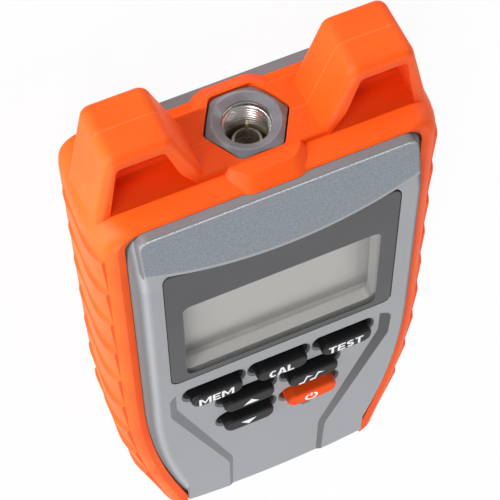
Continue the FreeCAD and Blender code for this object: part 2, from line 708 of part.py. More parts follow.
def lcd_frame():
    """Tray that holds the glass over the board, open at the front."""
    y0, y1 = WINDOW_Y0 - 0.9, WINDOW_Y1 + 1.3
    tray = box(-27.0, 27.0, y0 - 3.0, y1 + 3.0, PCB_Z + PCB_T + 0.05, CEILING_Z - 0.1)
    tray = tray.cut(box(-LCD_HALF - 0.3, LCD_HALF + 0.3, y0, y1, tray_floor_z(), 40))
    tray = tray.cut(box(-20.0, 20.0, y0 + 4.0, y1 - 4.0, 10, 40))
    for y in (y0 + 1.6, y1 - 1.6):
        tray = tray.cut(box(-21.4, 21.4, y - 1.25, y + 1.25, 10, 40))
    return tray


def lcd_light_guide():
    """White sheet behind the glass."""
    y0, y1 = WINDOW_Y0 - 0.9 + 3.2, WINDOW_Y1 + 1.3 - 3.2
    return box(-LCD_HALF, LCD_HALF, y0, y1, tray_floor_z() + SLIP, LCD_FACE_Z - LCD_T - SLIP)


def lcd_contact_strips():
    """Two striped rubber strips between board and glass."""
    y0, y1 = WINDOW_Y0 - 0.9, WINDOW_Y1 + 1.3
    z0, z1 = PCB_Z + PCB_T + 0.02, LCD_FACE_Z - LCD_T - 0.02
    return Part.makeCompound([box(-21.0, 21.0, y - 1.0, y + 1.0, z0, z1) for y in (y0 + 1.6, y1 - 1.6)])


def main_pcb():
    board = rounded_box(0, (PCB_Y0 + PCB_Y1) / 2, 2 * PCB_HALF, PCB_Y1 - PCB_Y0, 3.0, PCB_Z, PCB_Z + PCB_T)
    board = board.common(case_prism(-WALL - 0.8, 0, 40))
    for x, y in SCREW_SPOTS:
        board = board.cut(rod(BOSS_R + 0.5, V(x, y, 0), Z_AXIS, 40))
    for x, y in PCB_SCREW_SPOTS:
        board = board.cut(rod(SCREW_R, V(x, y, 0), Z_AXIS, 40))
    return board


def keypad_mat():
    """Rubber web on the board, with a window round each key."""
    mat = box(-26.5, 26.5, -42.0, -8.0 - 1.0, PCB_Z + PCB_T + 0.02, PCB_Z + PCB_T + 0.6)
    for x, y in PCB_SCREW_SPOTS:
        mat = mat.cut(rod(3.2, V(x, y, 0), Z_AXIS, 40))
    for x, y in KEYS.values():
        mat = mat.cut(rounded_box(x, y, KEY_LENGTH + 2.1, KEY_WIDTH + 2.2, 2.8, 0, 40))
    return mat


def key(x, y):
    """Key cap: a rounded block with a top that leans with the channel, and a flange under the cover."""
    top = channel_z(y) + KEY_PROUD
    cap = rounded_box(x, y, KEY_LENGTH, KEY_WIDTH, KEY_ROUND, KEY_BASE_Z, top + 2)
    half = KEY_WIDTH / 2 + 1
    lean = CHANNEL_SLOPE * half
    profile = [(y - half, 0), (y + half, 0), (y + half, top + lean), (y - half, top - lean)]
    knife = slab(profile, 60)
    cap = cap.common(knife)
    rim = [e for e in cap.Edges if e.BoundBox.ZMin > top - 1]
    cap = cap.makeFillet(KEY_RIM_ROUND, rim)
    flange = rounded_box(x, y, KEY_LENGTH + 2 * KEY_FLANGE_LIP, KEY_WIDTH + 2 * KEY_FLANGE_LIP, KEY_ROUND,
                         KEY_BASE_Z, KEY_BASE_Z + KEY_FLANGE_T)
    return cap.fuse(flange).removeSplitter()


def dome_switches():
    """Seven snap domes on the board, one under each key."""
    domes = []
    for x, y in KEYS.values():
        ball_r = (DOME_R ** 2 + DOME_RISE ** 2) / (2 * DOME_RISE) + 1
        ball = Part.makeSphere(ball_r, V(x, y, PCB_Z + PCB_T + DOME_RISE - ball_r))
        domes.append(ball.common(rod(DOME_R, V(x, y, PCB_Z + PCB_T + 0.02), Z_AXIS, 2)))
    return Part.makeCompound(domes)


def port_bushing():
    """Grey hexagonal bush that carries the threaded sleeve."""
    hexagon = hex_prism(PORT_FLATS, PORT_HEX_Y0, PORT_MOUTH_Y, PORT_CORNER_R)
    depth = 5.0
    mouth = V(0, PORT_MOUTH_Y, SPLIT_Z)
    face = Part.makeCone(PORT_FACE_R, PORT_FACE_R + depth * PORT_FACE_RUN, depth, mouth, -Y_AXIS)
    dish = Part.makeCone(PORT_FACE_R - 0.2, PORT_MOUTH_R, PORT_DISH, mouth, -Y_AXIS)
    hexagon = hexagon.common(face).cut(dish)
    flange = port_rod(PORT_FLANGE_R, PORT_FLANGE_Y0, PORT_FLANGE_Y1)
    neck = port_rod(PORT_NECK_R, PORT_FLANGE_Y1 - 0.4, PORT_HEX_Y0 + 0.3)
    body = hexagon.fuse(flange).fuse(neck)
    body = body.cut(port_rod(PORT_SLEEVE_R + 0.02, PORT_TAIL_Y, PORT_MOUTH_Y - PORT_MOUTH_DEPTH))
    return body.cut(port_rod(PORT_MOUTH_R, PORT_TAIL_Y, PORT_HOLE_Y1)).removeSplitter()


def turned(profile):
    """Solid of revolution about the port axis from (radius, y) points."""
    face = Part.Face(polygon([(r, y, SPLIT_Z) for r, y in profile]))
    return face.revolve(V(0, 0, SPLIT_Z), Y_AXIS, 360)


def port_sleeve():
    """Plated sleeve with thread rings in its bore."""
    mouth = PORT_MOUTH_Y - PORT_MOUTH_DEPTH - 0.02
    profile = [(PORT_SLEEVE_R, PORT_BACK_Y), (PORT_SLEEVE_R, mouth), (PORT_MOUTH_R, mouth),
               (PORT_BORE_R + THREAD_DEPTH, mouth - 0.9)]
    y = mouth - 1.0
    while y - THREAD_PITCH > 50.2:
        profile.append((PORT_BORE_R, y - THREAD_PITCH / 2))
        profile.append((PORT_BORE_R + THREAD_DEPTH, y - THREAD_PITCH))
        y -= THREAD_PITCH
    profile += [(PORT_BORE_R + THREAD_DEPTH, 49.4), (PORT_BORE_R, 48.6), (PORT_BORE_R, PORT_BACK_Y)]
    return turned(profile)


def port_post():
    """Inner contact tube, set back in the bore."""
    return turned([(2.55, 44.0), (PORT_BORE_R - 0.02, 44.0), (PORT_BORE_R - 0.02, 47.6), (3.3, 48.2),
                   (3.3, 53.2), (3.05, 53.6), (2.55, 53.6)])


def port_insulator():
    return turned([(PIN_R + 0.02, 43.6), (2.53, 43.6), (2.53, 48.4), (PIN_R + 0.02, 48.4)])


def port_pin():
    """Centre pin with a rounded point, and its solder tail."""
    tip = PORT_MOUTH_Y - PIN_DEPTH
    pin = port_rod(PIN_R, PORT_TAIL_Y, tip - PIN_POINT)
    point = Part.makeCone(PIN_R, PIN_R / 3, PIN_POINT, V(0, tip - PIN_POINT, SPLIT_Z), Y_AXIS)
    bend = V(0, PORT_TAIL_Y, SPLIT_Z)
    tail = rod(PIN_R, bend, Z_AXIS, PCB_Z - SPLIT_Z - 0.05)
    return pin.fuse(point).fuse(tail).fuse(Part.makeSphere(PIN_R, bend))


def port_nut():
    """Thin nut behind the bush."""
    nut = hex_prism(15.0, 49.6, 52.2)
    return nut.cut(port_rod(PORT_SLEEVE_R + 0.05, 40, 60))


CELL_X = [CELL_PITCH * (i - 1.5) for i in range(4)]
CELL_Z = DOOR_T + 0.3 + CELL_R
CELL_MID = (BAY_Y0 + BAY_Y1) / 2


def battery_cells():
    """Four cells lying side by side, turned head to tail."""
    cells = []
    for i, x in enumerate(CELL_X):
        way = 1 if i % 2 else -1
        start = V(x, CELL_MID - way * CELL_LENGTH / 2, CELL_Z)
        body = rod(CELL_R, start, V(0, way, 0), CELL_LENGTH - 0.9)
        body = body.makeFillet(0.5, [e for e in body.Edges if e.Curve.TypeId == "Part::GeomCircle"])
        cells.append(body.fuse(rod(1.9, start, V(0, way, 0), CELL_LENGTH)))
    return Part.makeCompound(cells)


def coil_spring():
    """Coil up the Z axis: half turns of wire, each leaning so that it ends where the next one starts."""
    rise = SPRING_PITCH / 4
    lean = math.degrees(math.asin(rise / SPRING_R))
    halves = []
    for i in range(2 * SPRING_TURNS):
        half = Part.makeTorus(SPRING_R, SPRING_WIRE_R, V(0, 0, 0), Z_AXIS, 0, 360, 180)
        half.rotate(V(0, 0, 0), Z_AXIS, 180 * i)
        half.rotate(V(0, 0, 0), Y_AXIS, lean * (-1) ** i)
        half.translate(V(0, 0, rise * (2 * i + 1)))
        halves.append(half)
    return halves[0].multiFuse(halves[1:])


def battery_springs():
    """Coil at each cell's flat end."""
    springs = []
    for i, x in enumerate(CELL_X):
        way = 1 if i % 2 else -1
        room = (BAY_Y1 - BAY_Y0 - CELL_LENGTH) / 2
        coil = coil_spring()
        coil.rotate(V(0, 0, 0), X_AXIS, -90 * way)
        coil.translate(V(x, CELL_MID - way * (CELL_LENGTH / 2 + room - 0.85), CELL_Z))
        springs.append(coil)
    return Part.makeCompound(springs)


def battery_contacts():
    """Flat contact behind every spring and at every button end."""
    plates = []
    for x in CELL_X:
        for y in (BAY_Y0 + 0.02, BAY_Y1 - 0.42):
            plates.append(box(x - 4.0, x + 4.0, y, y + 0.4, CELL_Z - 4.0, CELL_Z + 4.0))
    return Part.makeCompound(plates)


def chip_body(x, y, half_x, half_y):
    """Flat chip below the board."""
    return box(x - half_x, x + half_x, y - half_y, y + half_y, PCB_Z - CHIP_T - CHIP_GAP, PCB_Z - CHIP_GAP)


def chip_leg(x, y, half_x, half_y):
    """Pair of legs that reach out of both sides of a chip."""
    return box(x - half_x, x + half_x, y - half_y, y + half_y, PCB_Z - LEG_T, PCB_Z - 0.02)


def processor_chip():
    """Square chip with legs on all four sides."""
    legs = []
    for i in range(PROCESSOR_LEGS):
        step = PROCESSOR_PITCH * (i - (PROCESSOR_LEGS - 1) / 2)
        legs.append(chip_leg(step, PROCESSOR_Y, LEG_HALF, PROCESSOR_HALF + LEG_REACH))
        legs.append(chip_leg(0, PROCESSOR_Y + step, PROCESSOR_HALF + LEG_REACH, LEG_HALF))
    return chip_body(0, PROCESSOR_Y, PROCESSOR_HALF, PROCESSOR_HALF).multiFuse(legs)


def signal_chips():
    """Pulse driver and receiver chips near the port."""
    chips = []
    for x in (-SIGNAL_CHIP_X, SIGNAL_CHIP_X):
        reach = SIGNAL_CHIP_HALF_X + LEG_REACH
        legs = [chip_leg(x, SIGNAL_CHIP_Y + SIGNAL_PITCH * (i - 1.5), reach, LEG_HALF) for i in range(4)]
        chips.append(chip_body(x, SIGNAL_CHIP_Y, SIGNAL_CHIP_HALF_X, SIGNAL_CHIP_HALF_Y).multiFuse(legs))
    return Part.makeCompound(chips)


def input_relay():
    block = box(-5.0, 5.0, 30.0, 38.0, PCB_Z - 6.0, PCB_Z - 0.02)
    return block.makeFillet(0.5, edges_where(block, lambda p: p.z < PCB_Z - 5.9))


def capacitors():
    """Three upright can capacitors below the board."""
    cans = []
    for x in (10.0, 16.0, 22.0):
        can = rod(2.5, V(x, 14.0, PCB_Z - 5.6), Z_AXIS, 5.58)
        cans.append(can.makeFillet(0.4, edges_where(can, lambda p: p.z < PCB_Z - 5.5)))
    return Part.makeCompound(cans)


def tone_buzzer():
    """Round sounder with a hole in its face."""
    x, y = -18.5, 17.2
    drum = rod(6.0, V(x, y, PCB_Z - 3.6), Z_AXIS, 3.58)
    return drum.cut(rod(1.0, V(x, y, PCB_Z - 4), Z_AXIS, 1.5))


NODES = {
    "front_cover": front_cover,
    "rear_cover": rear_cover,
    "rubber_boot": rubber_boot,
    "lens": lens,
    "lcd_glass": lcd_glass,
    "lcd_frame": lcd_frame,
    "lcd_light_guide": lcd_light_guide,
    "lcd_contact_strips": lcd_contact_strips,
    "main_pcb": main_pcb,
    "pcb_screws": pcb_screws,
    "keypad_mat": keypad_mat,
    "dome_switches": dome_switches,
    "port_bushing": port_bushing,
    "port_sleeve": port_sleeve,
    "port_post": port_post,
    "port_insulator": port_insulator,
    "port_pin": port_pin,
    "port_nut": port_nut,
    "battery_door": battery_door,
    "door_screw": door_screw,
    "case_screws": case_screws,
    "battery_cells": battery_cells,
    "battery_springs": battery_springs,
    "battery_contacts": battery_contacts,
    "processor_chip": processor_chip,
    "signal_chips": signal_chips,
    "input_relay": input_relay,
    "capacitors": capacitors,
    "tone_buzzer": tone_buzzer,
}

for node, make in NODES.items():
    save(node, make())
for node, (key_x, key_y) in KEYS.items():
    save(node, key(key_x, key_y))
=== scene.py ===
"""Looks of the handheld cable length meter: finishes, key legends and small prints.

Metres, in the frame of the solids: +Z out of the display, +Y towards the coaxial port.
"""
import json
import math

import bmesh
import bpy
from mathutils import Matrix, Vector
from mathutils.geometry import tessellate_polygon


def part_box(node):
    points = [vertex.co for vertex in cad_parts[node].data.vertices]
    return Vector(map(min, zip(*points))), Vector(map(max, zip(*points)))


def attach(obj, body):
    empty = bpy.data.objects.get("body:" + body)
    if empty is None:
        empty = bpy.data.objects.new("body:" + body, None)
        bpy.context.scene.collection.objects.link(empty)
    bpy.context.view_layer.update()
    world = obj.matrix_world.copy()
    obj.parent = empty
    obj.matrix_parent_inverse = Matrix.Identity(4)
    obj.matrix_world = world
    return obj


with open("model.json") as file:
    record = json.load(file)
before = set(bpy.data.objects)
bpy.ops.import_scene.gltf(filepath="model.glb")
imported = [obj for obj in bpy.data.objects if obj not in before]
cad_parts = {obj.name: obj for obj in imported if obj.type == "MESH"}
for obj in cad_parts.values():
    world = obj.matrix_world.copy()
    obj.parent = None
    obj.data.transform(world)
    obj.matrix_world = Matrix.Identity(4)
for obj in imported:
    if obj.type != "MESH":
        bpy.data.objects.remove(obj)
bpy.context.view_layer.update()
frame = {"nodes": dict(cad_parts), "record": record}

NODES = frame["nodes"]
MM = 0.001

# Camera of the photograph: where it stands, and its right and up directions
CAMERA_PLACE = Vector((-0.087593, 0.388446, 0.225281))
CAMERA_RIGHT = Vector((0.914229, -0.015293, 0.404910))
CAMERA_UP = Vector((0.353381, 0.519040, -0.778280))
CAMERA_LENS_MM = 146.0
CAMERA_SENSOR_MM = 36.0

# Driving sizes that the finishes follow, in millimetres
BROW_CREST_Y = 41.2
BROW_CREST_R = 87.0
BROW_LIP = 1.6
BROW_HALF = 30.3
BROW_LOW_Z = 28.6
FRONT_Y = -8.0
FRONT_Z = 30.1
FRONT_RISE = 0.0224
LENS_MID_DEPTH = 0.75
WINDOW_HALF = 22.5
WINDOW_Y0 = -0.8
WINDOW_Y1 = 29.1
WINDOW_ROUND = 1.8
DISPLAY_FOOT = 3.5
CHANNEL_TOP_Y = -8.3
CHANNEL_WIDE = 27.4
CHANNEL_WIDE_Y = -19.0
CHANNEL_NARROW = 13.8
CHANNEL_NARROW_Y = -58.5
PORT_Z = 13.4
PORT_FACE_R = 7.0
THREAD_PITCH = 0.794
BORE_DEEP_Y = 54.0
PARTING_Z = 14.7
PARTING_Y = 58.5
PARTING_HALF = 32.0

# Studio: share of pure white in the floor as seen, light of the surroundings and how dark they get overhead
FLOOR_WHITE = 0.96
WORLD_LIGHT = 0.2
OVERHEAD_FALL = 0.6
FLOOR_REACH = 4.0

# Soft lamps: place, width and height in metres, and the light of a white card that faces them
LAMPS = {
    "right_key_light": ((0.50, -0.42, 0.76), 0.5, 0.5, 0.30),
    "left_key_light": ((-0.42, -0.45, 0.79), 0.5, 0.5, 0.48),
    "view_fill_light": ((-0.55, 0.62, 0.52), 0.4, 0.4, 0.28),
    "left_low_light": ((-0.6, 0.05, 0.013), 0.5, 0.02, 0.65),
    "left_end_light": ((-0.75, 0.65, 0.014), 0.5, 0.022, 0.75),
    "right_end_light": ((0.8, 0.55, 0.014), 0.5, 0.022, 0.22),
}

# Printed legends, in millimetres
PRINT_PROUD = 0.03
PRINT_SINK = 0.02
ABOVE_ALL = 100.0
LETTER_HEIGHT = 3.1
LETTER_GAP = 0.3
LETTER_TUCK = {"CA": 0.35, "AL": 0.08}
LETTER_STROKE = 0.6
LETTER_WIDTHS = {"A": 2.3, "C": 2.0, "E": 1.9, "L": 1.6, "M": 3.0, "S": 1.85, "T": 1.95}
KEY_PRINT_SHIFT = (-0.45, -0.1)
LAMP_SIGN_PLACE = (7.6, -42.0)


def ink(red, green, blue):
    """A colour given as it looks on a screen, from 0 to 255, as linear light."""
    def linear(value):
        share = value / 255
        if share <= 0.04045:
            return share / 12.92
        return ((share + 0.055) / 1.055) ** 2.4
    return (linear(red), linear(green), linear(blue), 1.0)


# Colours, as they look on a screen
COVER_INK = ink(168, 170, 174)
COVER_SOFT_INK = ink(164, 166, 170)
COVER_END_SHADE_INK = ink(122, 122, 126)
COVER_SIDE_SHADE_INK = ink(98, 97, 99)
COVER_WALL_SHADE_INK = ink(88, 88, 91)
COVER_SOFT_WALL_SHADE_INK = ink(116, 116, 119)
COVER_LIT_WALL_INK = ink(146, 147, 151)
BROW_EDGE_HIGHLIGHT_INK = ink(250, 250, 252)
WINDOW_WALL_LIGHT_INK = ink(236, 235, 232)
WINDOW_SIDE_LIGHT_INK = ink(194, 192, 190)
BROW_DARK_INK = ink(126, 132, 140)
BROW_LIGHT_INK = ink(147, 153, 161)
ORANGE_INK = ink(255, 96, 22)
ORANGE_DEEP_INK = ink(253, 85, 15)
ORANGE_KEY_SIDE_SHADE_INK = ink(255, 84, 14)
RUBBER_SHEEN_INK = ink(255, 196, 160)
PARTING_HIGHLIGHT_INK = ink(255, 150, 95)
LENS_INK = ink(95, 94, 96)
LENS_DEEP_INK = ink(91, 90, 93)
WINDOW_INK = ink(200, 200, 198)
DISPLAY_INK = ink(192, 191, 188)
DISPLAY_EDGE_SHADE_INK = ink(182, 178, 176)
DISPLAY_FOOT_LIGHT_INK = ink(208, 206, 203)
KEY_SIDE_SHADE_INK = ink(18, 18, 20)
KEY_TOP_LIGHT_INK = ink(50, 49, 50)
PRINT_INK = ink(255, 255, 255)
PRINT_SOFT_INK = ink(246, 246, 246)
DARK_PRINT_INK = ink(62, 62, 66)
DARK_PRINT_SOFT_INK = ink(72, 72, 76)
BUSH_INK = ink(126, 130, 136)
BUSH_SOFT_INK = ink(114, 118, 124)
BUSH_EDGE_HIGHLIGHT_INK = ink(214, 218, 224)
NICKEL_INK = ink(214, 213, 210)
NICKEL_SOFT_INK = ink(190, 189, 187)
BORE_DEEP_SHADE_INK = ink(178, 162, 142)
SHEET_SOFT_INK = ink(150, 150, 152)
BOARD_INK = ink(16, 84, 48)
TRACK_INK = ink(38, 120, 70)
FLOOR_INK = ink(240, 240, 240)


class Wire:
    """An output socket, with arithmetic that adds Math nodes to its finish."""

    def __init__(self, finish, socket):
        self.finish = finish
        self.socket = socket

    def math(self, operation, first, second=0.0):
        return self.finish.node("ShaderNodeMath", {"operation": operation}, {0: first, 1: second})

    def __add__(self, other):
        return self.math("ADD", self, other)

    def __sub__(self, other):
        return self.math("SUBTRACT", self, other)

    def __rsub__(self, other):
        return self.math("SUBTRACT", other, self)

    def __mul__(self, other):
        return self.math("MULTIPLY", self, other)

    def __pow__(self, other):
        return self.math("POWER", self, other)

    def __abs__(self):
        return self.math("ABSOLUTE", self)

    __radd__ = __add__
    __rmul__ = __mul__

    def least(self, other):
        return self.math("MINIMUM", self, other)

    def most(self, other):
        return self.math("MAXIMUM", self, other)

    def fade(self, start, end):
        """0 up to start and 1 from end, smooth between them; start may be the larger."""
        return self.finish.node("ShaderNodeMapRange", {"interpolation_type": "SMOOTHSTEP"},
                                {"Value": self, "From Min": start, "From Max": end})


class Finish:
    """A material, or the world, and the nodes that make it."""

    def __init__(self, name, kind=bpy.data.materials):
        self.material = kind.new(name)
        self.material.use_nodes = True
        self.tree = self.material.node_tree
        self.tree.nodes.clear()

    def node(self, kind, settings=None, inputs=None, output=0):
        """Add a node: its settings first, then the values or wires of its sockets."""
        node = self.tree.nodes.new(kind)
        for name, value in (settings or {}).items():
            setattr(node, name, value)
        for name, value in (inputs or {}).items():
            if isinstance(value, Wire):
                self.tree.links.new(value.socket, node.inputs[name])
            else:
                node.inputs[name].default_value = value
        return Wire(self, node.outputs[output]) if node.outputs else None

    def place(self):
        """Object coordinates in millimetres, as a vector and as x, y and z."""
        metres = self.node("ShaderNodeTexCoord", output="Object")
        vector = self.node("ShaderNodeVectorMath", {"operation": "SCALE"}, {0: metres, "Scale": 1 / MM})
        parts = [self.node("ShaderNodeSeparateXYZ", None, {0: vector}, axis) for axis in "XYZ"]
        return vector, parts

    def noise(self, vector, scale, detail):
        return self.node("ShaderNodeTexNoise", None, {"Vector": vector, "Scale": scale, "Detail": detail})

    def blend(self, factor, first, second):
        """Mix two colours."""
        return self.node("ShaderNodeMix", {"data_type": "RGBA"}, {0: factor, 6: first, 7: second}, 2)

    def bump(self, height, depth_mm, strength):
        """Normal from a height wire that runs from 0 to 1 over depth_mm."""
        inputs = {"Height": height, "Distance": depth_mm * MM, "Strength": strength}
        return self.node("ShaderNodeBump", None, inputs)

    def facing(self, axis):
        """Part of the surface's direction along one axis."""
        normal = self.node("ShaderNodeNewGeometry", output="Normal")
        return self.node("ShaderNodeSeparateXYZ", None, {0: normal}, axis)

    def skin(self, **sockets):
        """Principled surface: socket names with spaces written as underscores."""
        inputs = {name.replace("_", " "): value for name, value in sockets.items()}
        shader = self.node("ShaderNodeBsdfPrincipled", None, inputs)
        return self.surface(shader)

    def surface(self, shader):
        self.node("ShaderNodeOutputMaterial", None, {"Surface": shader})
        return self.material


def rounded_window(x, y, grow=0.0):
    """Distance in millimetres outside the display window's rounded outline, negative inside."""
    mid_y = (WINDOW_Y0 + WINDOW_Y1) / 2
    half_y = (WINDOW_Y1 - WINDOW_Y0) / 2
    out_x = abs(x) - (WINDOW_HALF + grow - WINDOW_ROUND)
    out_y = abs(y - mid_y) - (half_y + grow - WINDOW_ROUND)
    side_x = out_x.most(0.0)
    side_y = out_y.most(0.0)
    corner = (side_x * side_x + side_y * side_y) ** 0.5
    return corner + out_x.most(out_y).least(0.0) - WINDOW_ROUND


def channel_walls(f, x, y):
    """1 on the side walls of the keypad channel and the edges of the key holes."""
    narrowing = (CHANNEL_WIDE - CHANNEL_NARROW) / (CHANNEL_WIDE_Y - CHANNEL_NARROW_Y)
    limit = CHANNEL_WIDE + (y - CHANNEL_WIDE_Y).least(0.0).most(CHANNEL_NARROW_Y - CHANNEL_WIDE_Y) * narrowing
    inside = (limit - abs(x)).fade(-0.2, 0.2) * y.fade(CHANNEL_TOP_Y, CHANNEL_TOP_Y - 0.6)
    return inside * f.facing("Z").fade(0.97, 0.9) * f.facing("Y").fade(-0.75, -0.6)


def cover_finish():
    """Grey moulded plastic: satin on the pads, spark texture on the brow; painted shade on faces that look
    sideways or towards the port and on the keypad channel's walls, painted light round the display and on the
    channel's walls that face +X, and a painted highlight along the brow's crest.
    """
    f = Finish("cover_grey")
    vector, (x, y, z) = f.place()
    centre_y = BROW_CREST_Y + BROW_CREST_R
    from_centre = (x * x + (y - centre_y) * (y - centre_y)) ** 0.5
    brow = from_centre.fade(BROW_CREST_R - BROW_LIP + 0.2, BROW_CREST_R - BROW_LIP - 0.2)
    brow = brow * abs(x).fade(BROW_HALF + 0.2, BROW_HALF - 0.2) * z.fade(BROW_LOW_Z, BROW_LOW_Z + 0.5)
    brow = brow * f.facing("Z").fade(0.6, 0.85)
    spark = f.noise(vector, 3.0, 3.0)
    fine = f.noise(vector, 5.5, 2.0)
    cloud = f.noise(vector, 0.05, 2.0)
    colour = f.blend((fine + cloud).fade(0.6, 1.4), COVER_INK, COVER_SOFT_INK)
    colour = f.blend(brow, colour, f.blend(spark.fade(0.3, 0.7), BROW_DARK_INK, BROW_LIGHT_INK))
    end = f.facing("Y")
    # painted shade: faces that look towards the port are painted darker
    colour = f.blend(end.fade(0.55, 0.8), colour, COVER_END_SHADE_INK)
    across = f.facing("X")
    side = abs(across).fade(0.3, 0.8)
    # painted shade: faces that look sideways are painted darker
    colour = f.blend(side, colour, COVER_SIDE_SHADE_INK)
    # painted highlight: a pale, broken stripe along the brow's crest
    crest_highlight = end.fade(0.25, 0.4) * end.fade(0.75, 0.6) * z.fade(BROW_LOW_Z, BROW_LOW_Z + 0.3)
    crest_highlight = crest_highlight * abs(x).fade(BROW_HALF, BROW_HALF - 3.0)
    colour = f.blend(crest_highlight * (0.42 + 1.8 * (spark - 0.5)), colour, BROW_EDGE_HIGHLIGHT_INK)
    # painted shade on the keypad channel's walls, less deep towards its narrow end, and painted light on the
    # walls that face +X
    wall = f.blend(y.fade(CHANNEL_WIDE_Y, CHANNEL_NARROW_Y), COVER_WALL_SHADE_INK, COVER_SOFT_WALL_SHADE_INK)
    wall = f.blend(across.fade(-0.05, 0.05), wall, COVER_LIT_WALL_INK)
    colour = f.blend(channel_walls(f, x, y), colour, wall)
    # painted light: the walls round the display window are painted pale, less so on those that look sideways
    frame_wall = f.blend(side, WINDOW_WALL_LIGHT_INK, WINDOW_SIDE_LIGHT_INK)
    colour = f.blend(rounded_window(x, y, 0.3).fade(0.15, -0.15), colour, frame_wall)
    height = spark * brow + fine * 0.1
    rough = 0.5 + 0.08 * brow + 0.2 * side + 0.06 * (fine - 0.5)
    return f.skin(Base_Color=colour, Roughness=rough, Normal=f.bump(height, 0.05, 0.5), IOR=1.46,
                  Specular_IOR_Level=0.35)


def boot_finish():
    """Orange moulded rubber with a fine grain and a mould parting line round the strap loops, the line's
    ridge painted lighter as a highlight.
    """
    f = Finish("boot_orange")
    vector, (x, y, z) = f.place()
    cloud = f.noise(vector, 0.06, 3.0)
    grain = f.noise(vector, 7.0, 2.0)
    colour = f.blend(cloud.fade(0.3, 0.75), ORANGE_INK, ORANGE_DEEP_INK)
    parting = abs(z - PARTING_Z).fade(0.14, 0.05) * y.fade(PARTING_Y - 0.5, PARTING_Y + 0.5)
    parting = parting * abs(x).fade(PARTING_HALF + 1.0, PARTING_HALF - 1.0)
    # painted highlight: the parting ridge is painted a paler peach
    colour = f.blend(parting * 0.3, colour, PARTING_HIGHLIGHT_INK)
    height = grain * 0.25 + parting
    rough = 0.52 + 0.12 * (grain - 0.5) + 0.08 * (cloud - 0.5)
    return f.skin(Base_Color=colour, Roughness=rough, Normal=f.bump(height, 0.05, 0.4),
                  Specular_IOR_Level=0.24, Sheen_Weight=0.12, Sheen_Roughness=0.3,
                  Sheen_Tint=RUBBER_SHEEN_INK)


def lens_finish():
    """Clear lens with a pale back and a grey face printed round the display window."""
    f = Finish("lens_plastic")
    vector, (x, y, z) = f.place()
    middle_z = FRONT_Z + (y - FRONT_Y) * FRONT_RISE - LENS_MID_DEPTH
    face = (z - middle_z).fade(-0.55, -0.45)
    border = rounded_window(x, y).fade(-0.06, 0.06)
    cloud = f.noise(vector, 0.07, 2.0)
    grey = f.blend(cloud.fade(0.3, 0.7), LENS_INK, LENS_DEEP_INK)
    colour = f.blend(border * face, WINDOW_INK, grey)
    alpha = 0.04 + 0.96 * border
    rough = 0.2 + 0.05 * (cloud - 0.5)
    return f.skin(Base_Color=colour, Roughness=rough, Alpha=alpha, IOR=1.49, Specular_IOR_Level=0.25)


def display_finish():
    """Reflective grey display with a band of painted shade round its edges and painted light at its foot."""
    f = Finish("display_glass")
    vector, (x, y, _) = f.place()
    cloud = f.noise(vector, 0.12, 3.0)
    # painted shade: a darker band round the display's edges
    edge = rounded_window(x, y, -2.0).fade(-0.4, 0.4) * (0.7 + 0.3 * cloud)
    colour = f.blend(edge, DISPLAY_INK, DISPLAY_EDGE_SHADE_INK)
    # painted light: the display's foot is painted paler
    foot = WINDOW_Y0 + DISPLAY_FOOT
    colour = f.blend(y.fade(foot + 1.5, foot - 1.5), colour, DISPLAY_FOOT_LIGHT_INK)
    return f.skin(Base_Color=colour, Roughness=0.35, Specular_IOR_Level=0.2)


def key_finish(name, side_shade_ink, top_light_ink):
    """Silicone key with a matt top and smoother sides, its top painted lighter and its sides darker as
    painted light and shade.
    """
    f = Finish(name)
    vector, _ = f.place()
    grain = f.noise(vector, 6.0, 2.0)
    top = f.facing("Z").fade(0.6, 0.99)
    # painted light on the top, painted shade on the sides
    colour = f.blend(top * (0.85 + 0.3 * (grain - 0.5)), side_shade_ink, top_light_ink)
    rough = 0.5 + 0.1 * top + 0.1 * (grain - 0.5)
    return f.skin(Base_Color=colour, Roughness=rough, Normal=f.bump(grain, 0.02, 0.4), Specular_IOR_Level=0.2)


def port_radius(x, z):
    """Distance in millimetres from the port's axis."""
    return (x * x + (z - PORT_Z) * (z - PORT_Z)) ** 0.5


def bush_finish():
    """Cast grey bush with a painted highlight where its face meets the cone round it."""
    f = Finish("bush_grey")
    vector, (x, _, z) = f.place()
    grain = f.noise(vector, 4.0, 2.0)
    cloud = f.noise(vector, 0.25, 2.0)
    colour = f.blend(cloud.fade(0.35, 0.65), BUSH_INK, BUSH_SOFT_INK)
    # painted highlight: a pale broken ring where the face meets the cone
    edge_highlight = abs(port_radius(x, z) - PORT_FACE_R).fade(0.35, 0.05) * grain.fade(0.25, 0.75)
    colour = f.blend(edge_highlight * 0.3, colour, BUSH_EDGE_HIGHLIGHT_INK)
    return f.skin(Base_Color=colour, Roughness=0.3 + 0.12 * (grain - 0.5), Normal=f.bump(grain, 0.03, 0.4))


